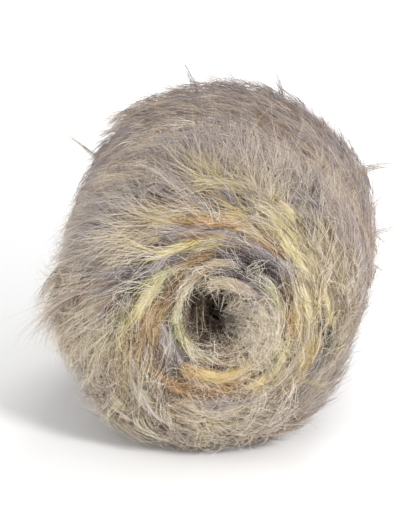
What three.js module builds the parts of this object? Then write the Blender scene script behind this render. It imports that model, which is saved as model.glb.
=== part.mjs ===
// A centre-pull ball of brushed fur yarn, lying on its side on its own sagged underside.
// It is one wound thing and so one solid: the barrel with its domed ends, the tunnel that the
// winder's mandrel leaves along its middle, and the main turns of yarn in relief. The form
// reaches as far as the dense part of the pile.
// Millimetres. +Z is up, +Y runs from the front end to the rear end, and the origin is on the
// surface that the ball rests on, under the middle of the ball's box.
import * as THREE from "three";

// Driving dimensions.
const BALL_LENGTH = 118; // from the front end to the rear end
const BARREL_RADIUS = 45; // at the thickest, pile included
const TUNNEL_RADIUS = 7.6; // half way along
const MOUTH_RADIUS = 11; // of the tunnel, at the front and the rear lip
const YARN_WIDTH = 4.8; // one turn on an end, across its pile
const TURN_HEIGHT = 2.4; // of a turn's ridge above the groove beside it
const TUCK = 0.15; // the share of a turn over which it comes out from under the next one
const SAG = 5; // how far the ball's own weight presses its underside flat
const SAG_BULGE = 0.045; // how much wider that makes the ball just above the surface, as a share
const SAG_FROM = 15; // how far below the axis it starts to be wider
const RIM_RADIUS = 39; // where an end turns over into the barrel
const RIM_WIDTH = 4; // over which the turns of the end give way to those of the barrel
const LOCK_RADIUS = 29; // no lock stands out nearer to the middle of an end than this
const SUNK = 1.2; // how far the grooves lie below the plain profile
const COLUMNS = 72; // steps round the ball

const HALF = BALL_LENGTH / 2;
const DEGREE = Math.PI / 180;

// The profile, from the front lip over the barrel to the rear lip and back through the tunnel.
// y: place along the ball. reach: radius. right, up: how far that section's middle is off the
// ball's axis. steps: rows of faces from here to the next section.
const SECTIONS = [
  { y: -HALF + 4.2, reach: MOUTH_RADIUS - 1.6, right: 3.6, up: 2.8, steps: 2 },
  { y: -HALF + 0.9, reach: MOUTH_RADIUS + 1.8, right: 3.4, up: 2.6, steps: 6 },
  { y: -HALF + 0.4, reach: 19, right: 2.6, up: 2.0, steps: 7 },
  { y: -HALF + 2.6, reach: 26.5, right: 1.7, up: 1.3, steps: 6 },
  { y: -HALF + 7.2, reach: 33, right: 0.9, up: 0.7, steps: 7 },
  { y: -HALF + 14.5, reach: 39.2, right: 0.3, up: 0.2, steps: 5 },
  { y: -HALF + 26, reach: BARREL_RADIUS - 1.6, right: 0, up: 0, steps: 6 },
  { y: -12, reach: BARREL_RADIUS, right: 0, up: 0, steps: 7 },
  { y: 12, reach: BARREL_RADIUS, right: 0, up: 0, steps: 6 },
  { y: HALF - 24, reach: BARREL_RADIUS - 1.2, right: 0, up: 0, steps: 4 },
  { y: HALF - 13, reach: 39.6, right: -0.2, up: 0, steps: 3 },
  { y: HALF - 5.6, reach: 32, right: -0.6, up: 0.2, steps: 6 },
  { y: HALF - 0.6, reach: 20, right: -1.2, up: 0.5, steps: 3 },
  { y: HALF - 1.4, reach: MOUTH_RADIUS + 1.6, right: -1.6, up: 0.7, steps: 2 },
  { y: HALF - 5, reach: MOUTH_RADIUS - 1.6, right: -1.6, up: 0.7, steps: 2 },
  { y: HALF - 20, reach: TUNNEL_RADIUS + 0.4, right: -0.6, up: 0.4, steps: 3 },
  { y: -HALF + 24, reach: TUNNEL_RADIUS + 0.2, right: 1.2, up: 1.0, steps: 3 },
];

// The turns that show on the front end. from, to: clockwise from the top, in degrees, as seen
// from the front. start, middle, end: the turn's radius there, about the tunnel's mouth.
const FRONT_TURNS = [
  { from: 275, to: 500, start: 14, middle: 11.4, end: 13.6 },
  { from: 130, to: 225, start: 13.6, middle: 15, end: 16.4 },
  { from: 325, to: 490, start: 15, middle: 14.4, end: 15.6 },
  { from: 215, to: 275, start: 15, middle: 15.4, end: 14.6 },
  { from: 40, to: 150, start: 17, middle: 17.6, end: 19 },
  { from: 355, to: 470, start: 17.4, middle: 20.4, end: 19.8 },
  { from: 240, to: 330, start: 20.5, middle: 17.5, end: 14.4 },
  { from: 270, to: 362, start: 24, middle: 19.4, end: 17.6 },
  { from: 280, to: 345, start: 27, middle: 23.4, end: 20.6 },
  { from: 165, to: 240, start: 19, middle: 20, end: 23.6 },
  { from: 312, to: 400, start: 24.4, middle: 22.6, end: 22.4 },
  { from: 40, to: 165, start: 24, middle: 22.4, end: 20.4 },
  { from: 322, to: 410, start: 28.4, middle: 27, end: 26.6 },
  { from: 308, to: 425, start: 32.6, middle: 31, end: 27.6 },
  { from: 240, to: 300, start: 24.6, middle: 26.6, end: 30 },
  { from: 60, to: 200, start: 27.4, middle: 25.4, end: 23.6 },
  { from: 50, to: 150, start: 32, middle: 30, end: 28.6 },
  { from: 345, to: 430, start: 37, middle: 35, end: 31.6 },
  { from: 150, to: 295, start: 27.6, middle: 28.6, end: 33 },
  { from: 60, to: 160, start: 36, middle: 34.4, end: 33 },
  { from: 225, to: 320, start: 33.5, middle: 36, end: 39.5 },
  { from: 140, to: 240, start: 32.6, middle: 33.6, end: 36.4 },
];

// The windings on the barrel cross at a slant. starts: how many bands lie side by side round
// the ball, negative where they slant the other way. pitch: from band to band along the ball.
// height: of the band's ridge. shift: where the first band lies, as a share of the pitch.
const BARREL_BANDS = [
  { starts: 5, pitch: 15, height: 2.4, shift: 0.1 },
  { starts: -4, pitch: 17, height: 1.9, shift: 0.55 },
];

// The rear end shows a plain spiral of turns.
const REAR_ARMS = 3;
const REAR_PITCH = 8;

// Slow swells of the pile on the barrel, so that no two sides are alike. waves: how many go
// round the ball. slant: how much they turn along it, in radians per millimetre.
const SWELLS = [
  { height: 0.55, waves: 2, slant: 0.05, phase: 0 },
  { height: 0.4, waves: 3, slant: -0.07, phase: 1.3 },
  { height: 0.25, waves: 7, slant: 0.14, phase: 0.4 },
];

// Locks of pile that stand out, and flatter places where the rise is negative. angle:
// clockwise from the top, in degrees. y: along the ball. wide, long: half its width round the
// ball and half its length.
const LOCKS = [
  { angle: 274, y: -43, rise: 3.4, wide: 9, long: 9 },
  { angle: 246, y: -40, rise: -1, wide: 8, long: 14 },
  { angle: 292, y: -30, rise: -2.4, wide: 14, long: 22 },
  { angle: 107, y: -22, rise: -5.5, wide: 20, long: 34 },
  { angle: 322, y: 30, rise: 2.6, wide: 6, long: 9 },
  { angle: 60, y: 6, rise: 3, wide: 9, long: 14 },
  { angle: 12, y: -24, rise: 1.2, wide: 9, long: 12 },
  { angle: 226, y: -46, rise: 3.2, wide: 12, long: 10 },
  { angle: 152, y: -46, rise: 2, wide: 9, long: 8 },
  { angle: 96, y: 34, rise: 1.8, wide: 9, long: 9 },
  { angle: 240, y: 28, rise: 1.8, wide: 8, long: 10 },
];

// 1 on a ridge's crest, falling to 0 half a width to either side. off: from the crest, in widths.
function ridge(off) {
  return Math.cos(Math.PI * Math.min(0.5, Math.abs(off))) ** 1.5;
}

// Rises from 0 at low to 1 at high, with flat ends.
function ramp(value, low, high) {
  return THREE.MathUtils.smoothstep(value, low, high);
}

// The radius of a turn at a share of its way, through its start, middle and end.
function turnRadius(turn, share) {
  const start = 2 * (share - 0.5) * (share - 1) * turn.start;
  const middle = 4 * share * (1 - share) * turn.middle;
  const end = 2 * share * (share - 0.5) * turn.end;
  return start + middle + end;
}

// How high the turns of the front end stand at a radius and an angle in degrees.
function frontTurns(reach, angle) {
  let height = 0;
  for (const turn of FRONT_TURNS) {
    const clock = angle < turn.from ? angle + 360 : angle;
    const share = (clock - turn.from) / (turn.to - turn.from);
    if (share < 0 || share > 1) continue;
    const off = (reach - turnRadius(turn, share)) / YARN_WIDTH;
    const tucked = ramp(share, 0, TUCK) * ramp(1 - share, 0, TUCK);
    height = Math.max(height, tucked * ridge(off));
  }
  return TURN_HEIGHT * height;
}

function rearTurns(reach, angle) {
  const place = reach / REAR_PITCH - (REAR_ARMS * angle) / 360;
  return TURN_HEIGHT * ridge(place - Math.round(place));
}

function barrelBands(y, angle) {
  let height = 0;
  for (const band of BARREL_BANDS) {
    const place = y / band.pitch + (band.starts * angle) / 360 + band.shift;
    height = Math.max(height, band.height * ridge(place - Math.round(place)));
  }
  return height;
}

function swells(y, angle) {
  let height = 0;
  for (const swell of SWELLS) {
    height += swell.height * Math.sin(swell.waves * angle * DEGREE + swell.slant * y + swell.phase);
  }
  return height;
}

function locks(y, angle) {
  let height = 0;
  for (const lock of LOCKS) {
    const turned = ((angle - lock.angle + 540) % 360) - 180;
    const across = (turned * DEGREE * BARREL_RADIUS) / lock.wide;
    const along = (y - lock.y) / lock.long;
    height += lock.rise * Math.exp(-across * across - along * along);
  }
  return height;
}

// Everything that stands out of the plain profile, in the direction of its normal.
function relief(y, reach, angle, outside) {
  const side = ramp(reach, RIM_RADIUS - RIM_WIDTH / 2, RIM_RADIUS + RIM_WIDTH / 2);
  const endTurns = y < 0 ? frontTurns(reach, angle) : rearTurns(reach, angle);
  const sideTurns = barrelBands(y, angle) + swells(y, angle);
  const turns = (1 - side) * endTurns + side * sideTurns;
  const lock = ramp(reach, LOCK_RADIUS, RIM_RADIUS) * locks(y, angle);
  return outside * (turns + lock - SUNK);
}

// The ball's weight presses its underside flat and pushes the lower sides out.
function settled(point) {
  const low = ramp(-point.z, SAG_FROM, BARREL_RADIUS);
  const floor = -(BARREL_RADIUS - SAG);
  point.x *= 1 + SAG_BULGE * low;
  point.z = Math.max(point.z, floor) - floor;
  return point;
}

// A closed net of points, rows along the profile and columns round the ball. Each square of it
// is split along its more level diagonal, so that the turns' crests stay whole.
function ballGeometry() {
  const profile = new THREE.CatmullRomCurve3(
    SECTIONS.map((section) => new THREE.Vector3(section.reach, section.y, 0)),
    true,
  );
  const middles = new THREE.CatmullRomCurve3(
    SECTIONS.map((section) => new THREE.Vector3(section.right, 0, section.up)),
    true,
  );
  const rows = [];
  SECTIONS.forEach((section, k) => {
    for (let step = 0; step < section.steps; step++) {
      rows.push((k + step / section.steps) / SECTIONS.length);
    }
  });

  const points = [];
  const heights = [];
  for (const t of rows) {
    const { x: reach, y } = profile.getPoint(t);
    const middle = middles.getPoint(t);
    const along = profile.getTangent(t);
    const outside = ramp(reach, MOUTH_RADIUS - 1, MOUTH_RADIUS + 2);
    for (let j = 0; j < COLUMNS; j++) {
      const angle = (360 * j) / COLUMNS;
      const rise = relief(y, reach, angle, outside);
      const radius = reach + rise * along.y;
      const point = new THREE.Vector3(
        middle.x + radius * Math.sin(angle * DEGREE),
        y - rise * along.x,
        middle.z + radius * Math.cos(angle * DEGREE),
      );
      points.push(settled(point));
      heights.push(rise);
    }
  }

  const faces = [];
  for (let i = 0; i < rows.length; i++) {
    for (let j = 0; j < COLUMNS; j++) {
      const here = i * COLUMNS + j;
      const beside = i * COLUMNS + ((j + 1) % COLUMNS);
      const below = ((i + 1) % rows.length) * COLUMNS + j;
      const across = ((i + 1) % rows.length) * COLUMNS + ((j + 1) % COLUMNS);
      const level = Math.abs(heights[here] - heights[across]);
      if (level < Math.abs(heights[beside] - heights[below])) {
        faces.push(here, beside, across, here, across, below);
      } else {
        faces.push(here, beside, below, beside, across, below);
      }
    }
  }

  const geometry = new THREE.BufferGeometry().setFromPoints(points);
  geometry.setIndex(faces);
  geometry.computeBoundingBox();
  const centre = geometry.boundingBox.getCenter(new THREE.Vector3());
  geometry.translate(-centre.x, -centre.y, 0);
  geometry.computeVertexNormals();
  return geometry;
}

const furYarn = new THREE.MeshStandardMaterial({ color: 0xaca08f, roughness: 0.95, metalness: 0 });

const ball = new THREE.Mesh(ballGeometry(), furYarn);
ball.name = "wound_ball";

const part = new THREE.Group();
part.add(ball);

export default part;
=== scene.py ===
# Brushed alpaca fur yarn, wound into a centre-pull ball that lies on its side with its front end
# towards the viewer. Metres, +Z up, +Y from the front end to the rear end, floor at 0.
import math

import bpy
import numpy as np
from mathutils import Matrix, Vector
from mathutils.bvhtree import BVHTree


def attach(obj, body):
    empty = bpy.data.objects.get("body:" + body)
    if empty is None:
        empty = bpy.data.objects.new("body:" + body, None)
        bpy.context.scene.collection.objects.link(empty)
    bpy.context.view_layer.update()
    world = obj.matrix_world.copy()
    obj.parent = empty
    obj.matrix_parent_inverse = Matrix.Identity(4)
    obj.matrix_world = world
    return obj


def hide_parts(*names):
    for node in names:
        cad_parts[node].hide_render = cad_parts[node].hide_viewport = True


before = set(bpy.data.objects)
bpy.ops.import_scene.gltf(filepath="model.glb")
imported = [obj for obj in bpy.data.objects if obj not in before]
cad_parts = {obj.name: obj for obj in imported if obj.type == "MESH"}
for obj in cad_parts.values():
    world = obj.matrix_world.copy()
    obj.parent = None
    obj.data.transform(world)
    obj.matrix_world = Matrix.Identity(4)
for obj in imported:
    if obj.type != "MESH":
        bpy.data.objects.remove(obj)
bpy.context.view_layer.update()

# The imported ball: the turns of yarn press into one dense body under the pile, pierced by the
# tunnel that the winder's mandrel left. It is wound round and round, domed at both ends, and
# its own weight lays its underside flat.
MM = 0.001
AXIS_HEIGHT = 40 * MM
CORE_DEPTH = 3.4 * MM  # below the outside of the pile
CORE_GAP = 0.4 * MM  # over the floor
CORE_ROWS = 84
CORE_COLUMNS = 72

# The profile as rows of: place along the ball, radius, and how far the middle is off the axis
# to the right and upwards, in millimetres. It runs from the front lip to the rear lip and back
# through the tunnel.
SECTIONS = np.array([
    (-54.8, 9.4, 3.6, 2.8),
    (-58.1, 12.8, 3.4, 2.6),
    (-58.6, 19, 2.6, 2.0),
    (-56.4, 26.5, 1.7, 1.3),
    (-51.8, 33, 0.9, 0.7),
    (-44.5, 39.2, 0.3, 0.2),
    (-33, 43.4, 0, 0),
    (-12, 45, 0, 0),
    (12, 45, 0, 0),
    (35, 43.8, 0, 0),
    (46, 39.6, -0.2, 0),
    (53.4, 32, -0.6, 0.2),
    (58.4, 20, -1.2, 0.5),
    (57.6, 12.6, -1.6, 0.7),
    (54, 9.4, -1.6, 0.7),
    (39, 8.0, -0.6, 0.4),
    (-35, 7.8, 1.2, 1.0),
]) * MM
FRONT_LIP, REAR_LIP = 1, 13  # rows between which the outside lies


def on_profile(t):
    """The profile's values at t, counted in rows, and how they change with t."""
    k = np.floor(t).astype(int)
    f = (t - k)[..., None]
    a, b, c, d = (SECTIONS[(k + i) % len(SECTIONS)] for i in (-1, 0, 1, 2))
    value = b + f * ((c - a) + f * ((2 * a - 5 * b + 4 * c - d) + f * (3 * b - 3 * c + d - a))) / 2
    change = ((c - a) + f * (2 * (2 * a - 5 * b + 4 * c - d) + 3 * f * (3 * b - 3 * c + d - a))) / 2
    return value, change


def plain_surface(t, angle):
    """Places on the plain profile, and the way outwards there."""
    value, change = on_profile(t)
    along, reach, right, up = np.moveaxis(value, -1, 0)
    change = change[..., :2] / np.linalg.norm(change[..., :2], axis=-1, keepdims=True)
    sin, cos = np.sin(angle), np.cos(angle)
    place = np.stack([right + reach * sin, along, AXIS_HEIGHT + up + reach * cos], -1)
    normal = np.stack([change[..., 0] * sin, -change[..., 1], change[..., 0] * cos], -1)
    return place, normal


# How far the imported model's own surface stands out of the plain profile, on a net of places.
PROBE = 7 * MM  # how deep under the profile each look outwards starts
NET_ROWS, NET_STEP = 170, 2.5  # rows along the whole profile, degrees between columns
solid = BVHTree.FromObject(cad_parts["wound_ball"], bpy.context.evaluated_depsgraph_get())
net_rows = np.linspace(0, len(SECTIONS), NET_ROWS + 1)[:-1]
net_columns = np.radians(np.arange(0, 360, NET_STEP))
places, normals = plain_surface(*np.meshgrid(net_rows, net_columns, indexing="ij"))
rises = np.zeros(places.shape[:2])
for at in np.ndindex(rises.shape):
    start = places[at] - PROBE * normals[at]
    hit = solid.ray_cast(Vector(start), Vector(normals[at]), 4 * PROBE)
    if hit[0] is not None:
        rises[at] = hit[3] - PROBE


def rise_at(t, angle):
    """The rise at any places, between those of the net."""
    row = (t / len(SECTIONS) * NET_ROWS) % NET_ROWS
    column = (np.degrees(angle) % 360) / NET_STEP
    i, j = np.floor(row).astype(int), np.floor(column).astype(int)
    f, g = row - i, column - j
    i, k = i % NET_ROWS, (i + 1) % NET_ROWS
    j, m = j % len(net_columns), (j + 1) % len(net_columns)
    near = rises[i, j] * (1 - g) + rises[i, m] * g
    far = rises[k, j] * (1 - g) + rises[k, m] * g
    return near * (1 - f) + far * f


def under_pile(t, angle, depth):
    """Places at a depth under the outside of the pile."""
    place, normal = plain_surface(t, angle)
    return place + normal * (rise_at(t, angle) - depth)[..., None]


def placed(name, data):
    """A new object in the scene."""
    made = bpy.data.objects.new(name, data)
    bpy.context.collection.objects.link(made)
    return made


def linear(code):
    """The linear colour of an sRGB hex code."""
    parts = [int(code[i:i + 2], 16) / 255 for i in (1, 3, 5)]
    return [c / 12.92 if c <= 0.04045 else ((c + 0.055) / 1.055) ** 2.4 for c in parts] + [1]


def add_node(tree, kind, inputs=None, settings=None):
    """Adds a node. An input is a value, or what to link from: a socket, or a node, which stands
    for its first output."""
    made = tree.nodes.new(kind)
    for name, value in (settings or {}).items():
        setattr(made, name, value)
    for name, value in (inputs or {}).items():
        if isinstance(value, bpy.types.Node):
            value = value.outputs[0]
        if isinstance(value, bpy.types.NodeSocket):
            tree.links.new(value, made.inputs[name])
        else:
            made.inputs[name].default_value = value
    return made


def fibre_material(name, roughness):
    """A new material, its tree and its shader, with the dry look of keratin fibre."""
    material = bpy.data.materials.new(name)
    material.use_nodes = True
    tree = material.node_tree
    shader = tree.nodes["Principled BSDF"]
    shader.inputs["IOR"].default_value = 1.55
    shader.inputs["Specular IOR Level"].default_value = 0.25
    shader.inputs["Roughness"].default_value = roughness
    return material, tree, shader


# Packed alpaca wool under the pile, dull taupe darkened in part as painted shade of the depth,
# mottled every 5 mm where another turn begins, with fuzz 0.8 mm apart, and rough.
MOTTLE, FUZZ = 5 * MM, 0.8 * MM
shaded_wool, tree, shader = fibre_material("shaded wool", 0.95)
spot = add_node(tree, "ShaderNodeTexCoord").outputs["Object"]
mottle = add_node(tree, "ShaderNodeTexNoise", {"Vector": spot, "Scale": 1 / MOTTLE, "Detail": 4})
shades = add_node(tree, "ShaderNodeValToRGB", {"Fac": mottle})
for stop, at, code in zip(shades.color_ramp.elements, (0.35, 0.65), ("#5E554E", "#8A7C6C")):
    stop.position = at
    stop.color = linear(code)
fuzz = add_node(tree, "ShaderNodeTexNoise", {"Vector": spot, "Scale": 1 / FUZZ, "Detail": 6})
bump = add_node(tree, "ShaderNodeBump", {"Height": fuzz, "Strength": 0.6, "Distance": 0.6 * MM})
tree.links.new(shades.outputs["Color"], shader.inputs["Base Color"])
tree.links.new(bump.outputs["Normal"], shader.inputs["Normal"])

core_t, core_angle = np.meshgrid(
    np.linspace(0, len(SECTIONS), CORE_ROWS + 1)[:-1],
    np.linspace(0, 2 * np.pi, CORE_COLUMNS + 1)[:-1],
    indexing="ij",
)
outside = np.clip(np.minimum(core_t - FRONT_LIP + 1, REAR_LIP + 1 - core_t), 0, 1)
core_place = under_pile(core_t, core_angle, CORE_DEPTH * outside)
core_place[..., 2] = np.maximum(core_place[..., 2], CORE_GAP)
here = np.arange(core_t.size).reshape(core_t.shape)
below, beside = np.roll(here, -1, 0), np.roll(here, -1, 1)
across = np.roll(below, -1, 1)
quads = np.stack([here, beside, across, below], -1).reshape(-1, 4)
mesh = bpy.data.meshes.new("packed_core")
mesh.from_pydata(core_place.reshape(-1, 3), [], quads.tolist())
mesh.shade_smooth()
mesh.materials.append(shaded_wool)
core = placed("packed_core", mesh)
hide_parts("wound_ball")
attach(core, "root")

# The turns of yarn: a soft chainette of alpaca, dyed along its length from slate through brown,
# tan and cream to yellow, so that each turn changes colour as it goes. It is laid on the ball
# turn by turn, side by side and across, and held by nothing but its own pile.
YARN_RADIUS = 2.0 * MM
TURN_STEP = 1.6 * MM  # between the points that a turn is laid through
TURN_DEPTH = 2.3 * MM  # of a turn's middle under the outside of the pile, on an end
WINDING_DEPTH = 3.3 * MM  # the same on the barrel, where the pile is deep
YARN_GAP = 0.2 * MM  # over the floor
SMOOTHINGS = 3  # that round off a turn's path
DYES = {
    "slate": "#5E565B",
    "mauve": "#A09598",
    "taupe": "#BBAB9F",
    "tan": "#CBB898",
    "cream": "#E8DBC5",
    "butter": "#DCCE9C",
    "yellow": "#E2D38A",
    "honey": "#D2BA82",
    "orange": "#C49C6C",
    "brown": "#8F6D49",
    "lime": "#D3CC9C",
    "sage": "#B7B79B",
    # umber mostly darkens the tunnel, as painted shade
    "umber": "#503E30",
    "fawn": "#AC9B8A",
    "smoke": "#928785",
}
DYE = {name: k for k, name in enumerate(DYES)}


def dye_list(names):
    """The numbers of dyes."""
    return [DYE[name] for name in names.split()]


# Each stretch of a turn that shows on the front end: from and to in degrees clockwise from the
# top as the viewer sees it, how far it lies from the front lip at its start, middle and end in
# millimetres, how much it lies above the others in millimetres, and its dyes in order.
FRONT_TURNS = [
    (292, 350, 33, 32, 32, 0, "taupe mauve taupe"),
    (340, 410, 36, 35, 34, 0, "mauve taupe mauve"),
    (28, 95, 31, 29, 27, 0, "mauve tan taupe"),
    (60, 120, 33, 32, 31, 0, "taupe cream taupe"),
    (90, 180, 26.6, 27.6, 28, 0, "tan taupe brown"),
    (180, 262, 28.4, 29.4, 30.4, 0, "taupe cream taupe"),
    (250, 305, 31, 30, 29.4, 0, "tan cream taupe"),
    (345, 400, 29, 28, 25.5, 0.1, "taupe butter tan butter"),
    (350, 395, 32.4, 31, 29.6, 0, "taupe tan butter"),
    (304, 345, 28.4, 27.4, 25.2, -0.5, "mauve slate mauve"),
    (255, 302, 26.2, 25.4, 24.4, -0.2, "tan brown taupe"),
    (212, 262, 24.4, 24.6, 25, 0, "tan taupe cream"),
    (158, 215, 24.4, 24.4, 24.2, -0.5, "brown taupe brown"),
    (258, 300, 22.6, 21.4, 20.2, 0, "tan lime cream"),
    (318, 360, 21.5, 22.4, 21.4, -0.2, "taupe taupe mauve"),
    (300, 345, 24.4, 23, 23, -0.2, "taupe mauve mauve"),
    (358, 388, 21.2, 22, 22.6, -0.2, "tan mauve tan"),
    (50, 112, 25, 23.2, 22, 0, "cream tan taupe"),
    (105, 170, 21.6, 21.4, 21.2, 0, "tan taupe taupe"),
    (150, 232, 20.8, 20.6, 20.2, 0, "taupe cream tan"),
    (225, 265, 20.6, 20, 19.6, 0, "taupe cream cream"),
    (265, 322, 19.8, 18.8, 19, 0, "cream taupe mauve"),
    (15, 95, 24.5, 20, 18.2, 0.3, "taupe butter tan butter"),
    (14, 38, 20.6, 19.8, 19, -0.3, "mauve taupe tan"),
    (316, 384, 19.6, 18.6, 17, 0.3, "cream butter tan honey"),
    (262, 306, 16, 15.6, 15.8, 0, "tan brown mauve"),
    (298, 332, 16.2, 16.8, 16, -0.3, "slate brown brown"),
    (318, 402, 18, 16.2, 13.2, 0.4, "tan honey orange tan orange"),
    (20, 88, 18.2, 16.4, 13.8, 0.3, "tan butter butter honey"),
    (70, 158, 16.6, 16.8, 16.8, 0, "mauve slate mauve taupe"),
    (150, 240, 16.6, 17, 16.6, 0, "taupe tan cream"),
    (236, 275, 17.2, 15.8, 15, 0, "taupe tan tan"),
    (326, 422, 16, 12.4, 10.5, 0.1, "mauve taupe mauve mauve cream"),
    (25, 72, 14, 13.6, 12.8, 0, "orange brown tan"),
    (85, 142, 12.8, 13.4, 12.6, 0.1, "tan honey tan"),
    (122, 165, 13.6, 14, 14.2, -0.1, "tan brown tan"),
    (155, 235, 13, 13.4, 13.4, 0, "tan cream cream brown"),
    (205, 262, 13.4, 12.8, 14.4, 0, "orange cream tan"),
    (248, 288, 14.6, 13, 11.4, 0.1, "tan butter tan"),
    (264, 346, 14, 10.8, 8, 0, "slate slate mauve slate"),
    (285, 332, 12.4, 12.2, 11, -0.2, "mauve slate slate"),
    (336, 378, 12.4, 11.6, 11.2, 0, "butter orange tan mauve"),
    (15, 62, 11.5, 11.6, 11, 0, "cream mauve mauve"),
    (60, 112, 12.6, 11.2, 11.8, 0.3, "butter butter tan"),
    (108, 168, 10.8, 10.6, 10.2, 0.2, "cream cream tan"),
    (145, 202, 9.6, 10.2, 10.8, 0, "slate mauve taupe"),
    (232, 284, 11.2, 10.2, 9, 0, "orange brown brown"),
    (255, 336, 9.5, 7.4, 6.2, 0.2, "honey butter lime sage"),
    (320, 364, 11.2, 10, 9.4, 0.6, "yellow yellow yellow tan"),
    (325, 388, 7, 6.2, 5.8, 0, "tan orange slate slate"),
    (25, 76, 8.8, 7.8, 6.2, 0, "slate slate slate"),
    (58, 114, 10.2, 9, 8.4, 0.1, "cream honey butter"),
    (100, 172, 7.6, 7.4, 8.2, 0.3, "butter butter honey cream"),
    (183, 242, 7.4, 8.6, 11, 0, "brown orange brown orange"),
    (155, 216, 5.6, 5.8, 7.5, 0, "brown orange brown"),
    (222, 252, 5.5, 5.2, 4, -0.3, "slate mauve orange"),
    (232, 286, 8.2, 6.6, 5.4, 0.1, "orange mauve orange brown"),
    (5, 62, 5.2, 5.2, 6.4, 0, "slate slate mauve"),
    (52, 110, 9, 6, 6.6, 0.2, "honey brown orange brown"),
    (145, 216, 3.8, 4.2, 5, 0.3, "butter orange honey"),
    (250, 292, 4.8, 4, 3.6, 0.1, "orange honey brown"),
    (312, 352, 3.4, 3.2, 3.2, 0, "tan orange slate"),
    (335, 392, 2.8, 3, 3.4, 0, "tan tan mauve"),
    (30, 92, 3.2, 4.4, 3.6, 0.2, "mauve lime lime cream"),
    (100, 152, 3.8, 3.8, 2.6, 0.1, "cream lime butter slate"),
    (140, 224, 1.6, 2.4, 3.2, 0.4, "butter honey honey orange"),
    (212, 270, 1.2, 2.4, 2.8, -0.2, "slate mauve taupe"),
    (262, 322, 4, 2.2, 1, 0.2, "butter orange brown brown"),
    (335, 425, 0.8, 1.2, 1, -0.2, "brown slate slate mauve"),
    (60, 145, 1.5, 2.2, 1.2, 0.2, "mauve cream cream tan"),
    (205, 292, -1.2, -1.8, -3, 0.3, "cream lime lime"),
    (258, 356, -3.5, -0.4, 3.6, 0.5, "sage lime cream tan mauve"),
    (338, 424, -2.4, -2.8, -4.4, 2.4, "sage tan taupe mauve"),
    (46, 148, -5.5, -3.4, -2.2, 1.0, "tan cream cream cream"),
    (140, 222, -2.2, -2.6, -2.4, -0.2, "cream brown tan"),
    (92, 205, -5.6, -5.2, -4.8, -0.3, "brown tan brown tan"),
]

# Lengths are counted along the profile from the front lip: less than 0 is in the tunnel.
rows = np.linspace(FRONT_LIP - 2.5, REAR_LIP + 2.5, 3000)  # as far as yarn shows in the tunnel
steps = np.linalg.norm(np.diff(on_profile(rows)[0][:, :2], axis=0, prepend=0), axis=1)
arc_at = np.cumsum(steps)
arc_at = arc_at - np.interp(FRONT_LIP, rows, arc_at)
REAR_ARC = np.interp(REAR_LIP, rows, arc_at)


def row_at(arc):
    """The profile's row at a length along it."""
    return np.interp(arc, arc_at, rows)


def reach_at(t):
    """The profile's radius."""
    return on_profile(t)[0][..., 1]


def through_three(start, middle, end, share):
    """A smooth run of values through three."""
    first = 2 * (share - 0.5) * (share - 1) * start
    second = 4 * share * (1 - share) * middle
    return first + second + 2 * share * (share - 0.5) * end


def dyed(names, share):
    """How much of each dye a turn has along it, from the dyes that follow one another."""
    order = dye_list(names)
    blend = np.zeros((len(share), len(DYES)))
    for k, dye in enumerate(order):
        blend[:, dye] += np.clip(1 - np.abs(share * (len(order) - 1) - k), 0, 1)
    return blend


def laid_turn(arc, angle, depth, blend, tone=0.0):
    """One turn: its places, and for what grows on it where they are on the ball."""
    t = row_at(arc)
    place = under_pile(t, angle, depth)
    for _ in range(SMOOTHINGS):
        place[1:-1] = (place[:-2] + 2 * place[1:-1] + place[2:]) / 4
    place[:, 2] = np.maximum(place[:, 2], YARN_RADIUS + YARN_GAP)
    return {
        "place": place,
        "length": np.cumsum(np.linalg.norm(np.diff(place, axis=0, prepend=place[:1]), axis=1)),
        "arc": arc,
        "angle": angle,
        "heading": np.arctan2(reach_at(t) * np.gradient(angle), np.gradient(arc)),
        "depth": depth + 0 * arc,
        "blend": blend,
        "tone": tone + 0 * arc,
    }


# A stretch tucks in under the others at both ends and wanders a little, in millimetres.
LIP_RADIUS, DOME_SPREAD = 12.8, 0.85  # the spread is how fast the radius grows from the lip
TUCK_SHARE, TUCK_DEPTH = 0.16, 1.6
WANDER, WAVE_ASIDE, WAVE_DEEP = 0.45, 2.6, 3.4
front_turns = []
for k, (begin, stop, first, middle, last, lift, names) in enumerate(FRONT_TURNS):
    reach = LIP_RADIUS + DOME_SPREAD * max(middle, 0)
    share = np.linspace(0, 1, max(8, int(math.radians(stop - begin) * reach * MM / TURN_STEP)))
    tuck = sum(np.clip(1 - side / TUCK_SHARE, 0, 1) ** 2 for side in (share, 1 - share))
    way = np.radians(stop - begin) * share * reach
    aside = WANDER * np.sin(way / WAVE_ASIDE + 2 * k)
    deeper = TUCK_DEPTH * tuck - lift + WANDER * np.sin(way / WAVE_DEEP + 3 * k)
    front_turns.append(laid_turn(
        (through_three(first, middle, last, share) + aside) * MM,
        np.radians(begin + (stop - begin) * share),
        TURN_DEPTH + deeper * MM,
        dyed(names, share),
    ))

# The barrel's windings run from rim to rim at a slant, one lot over the other. Rows of: how
# many lie side by side, how far each one travels along the ball in a full turn, in
# millimetres and negative towards the front, and how much deeper this lot lies.
WINDINGS = [(10, 68, 1.2), (14, -75, 0)]
BARREL_FROM, BARREL_TO = 32 * MM, REAR_ARC - 26 * MM
BARREL_RADIUS, BARREL_ROUND = 43, 280  # of the windings, and the yarn in one of them
BARREL_STEP = 2.6 * TURN_STEP  # between the points there, as the bends are wide

# The barrel's yarn is a heather: how much of each dye it has on the whole, and over how many
# millimetres it comes and goes.
HEATHER = [
    ("taupe", 1.0, 31),
    ("mauve", 1.1, 17),
    ("fawn", 0.7, 14),
    ("smoke", 0.5, 11),
    ("tan", 0.08, 8),
    ("slate", 0.05, 9),
]

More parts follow.
